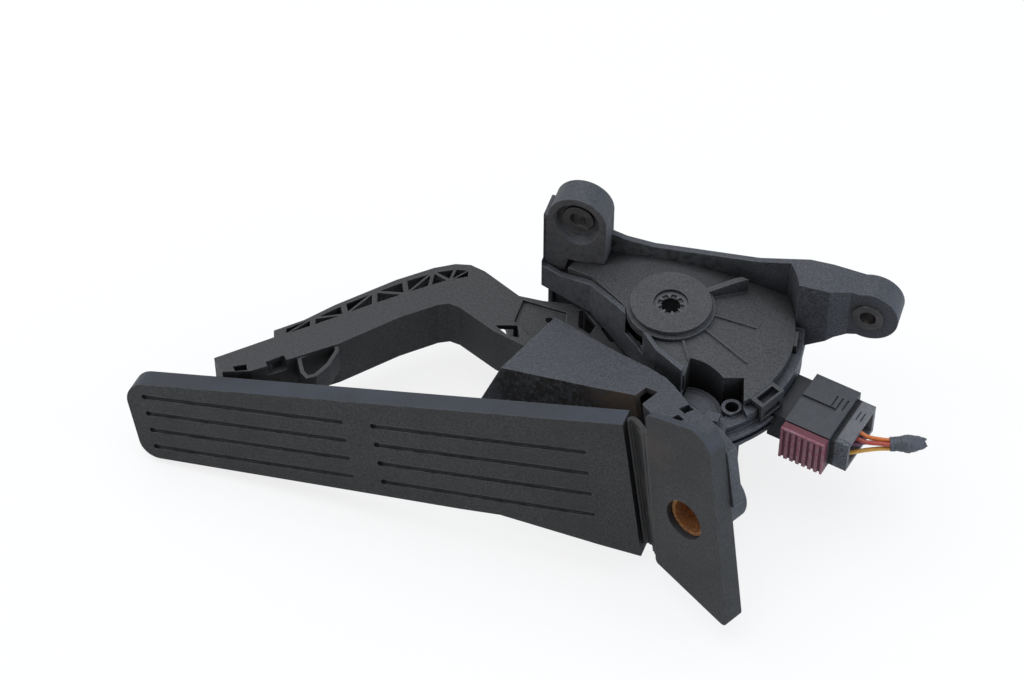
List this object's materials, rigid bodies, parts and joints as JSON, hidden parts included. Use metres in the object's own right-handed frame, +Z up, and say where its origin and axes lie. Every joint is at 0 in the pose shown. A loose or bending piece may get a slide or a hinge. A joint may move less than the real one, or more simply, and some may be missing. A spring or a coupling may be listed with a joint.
{
  "type": "accelerator pedal",
  "caption": "Floor-mounted accelerator pedal with a long grooved pad, a trussed lever arm, a sensor housing with mounting ears, and a cut-off wiring plug.",
  "frame": {"origin": "centre of the upper ear's bore at the face that lies on the bulkhead", "axes": "+X to the driver's right, +Y forward towards the bulkhead, +Z up towards the free end of the pad"},
  "size_m": [0.0994, 0.1379, 0.3237],
  "materials": {
    "black_moulding": "fine grained moulding",
    "cover_moulding": "fine grained moulding",
    "pad_moulding": "grained moulding",
    "hinge_strip": "smooth",
    "spring_steel": "plain",
    "shaft_steel": "ground",
    "bearing_bronze": "plain",
    "friction_lining": "pressed",
    "board_laminate": "smooth",
    "contact_brass": "bright",
    "socket_moulding": "smooth",
    "seal_rubber": "matt",
    "bush_steel": "dull with light rust",
    "sleeve_brass": "dull with brown rust",
    "shoe_plastic": "smooth",
    "rotor_plastic": "smooth",
    "plug_plastic": "smooth",
    "lock_plastic": "smooth",
    "cap_plastic": "smooth",
    "orange_insulation": "smooth",
    "yellow_insulation": "smooth",
    "violet_insulation": "smooth",
    "red_insulation": "smooth",
    "cloth_tape": "woven, worn"
  },
  "bodies": {
    "module": {"main_frame": "black_moulding", "sensor_cover": "cover_moulding", "star_ring": "spring_steel", "pivot_shaft": "shaft_steel", "friction_ring": "friction_lining", "return_spring_outer": "spring_steel", "return_spring_inner": "spring_steel", "circuit_board": "board_laminate", "contact_pins": "contact_brass", "connector_socket": "socket_moulding", "cover_seal": "seal_rubber", "ear_bushes": "bush_steel", "base_sleeve": "sleeve_brass", "foot_plate": "pad_moulding", "film_hinge": "hinge_strip", "plug_body": "plug_plastic", "plug_cap": "cap_plastic", "wire_orange": "orange_insulation", "wire_yellow": "yellow_insulation", "wire_violet": "violet_insulation", "wire_red": "red_insulation", "tape_wrap": "cloth_tape"},
    "pad": {"pedal_pad": "pad_moulding"},
    "lever": {"lever_arm": "black_moulding", "lever_shoe": "shoe_plastic", "magnet_rotor": "rotor_plastic", "pivot_bearings": "bearing_bronze"},
    "lock": {"plug_lock": "lock_plastic"}
  },
  "joints": [
    {"name": "pad_hinge", "type": "hinge", "parent": "module", "child": "pad", "pos_m": [-0.00926, -0.09771, -0.05123], "axis": [-0.9568, -0.2034, -0.2079], "range_deg": [0, 12], "stiffness_Nm_per_rad": 1, "deforming": ["film_hinge"]},
    {"name": "lever_pivot", "type": "hinge", "parent": "module", "child": "lever", "pos_m": [-0.0425, -0.032, -0.0465], "axis": [-1, 0, 0], "range_deg": [0, 13.8], "stiffness_Nm_per_rad": 2, "deforming": ["return_spring_outer", "return_spring_inner"]},
    {"name": "lock_slide", "type": "slide", "parent": "module", "child": "lock", "axis": [0, -0.225, -0.9744], "range_m": [0, 0.004]}
  ],
  "couplings": [
    {"joint": "lever_pivot", "follows": "pad_hinge", "ratio": 1.15}
  ]
}
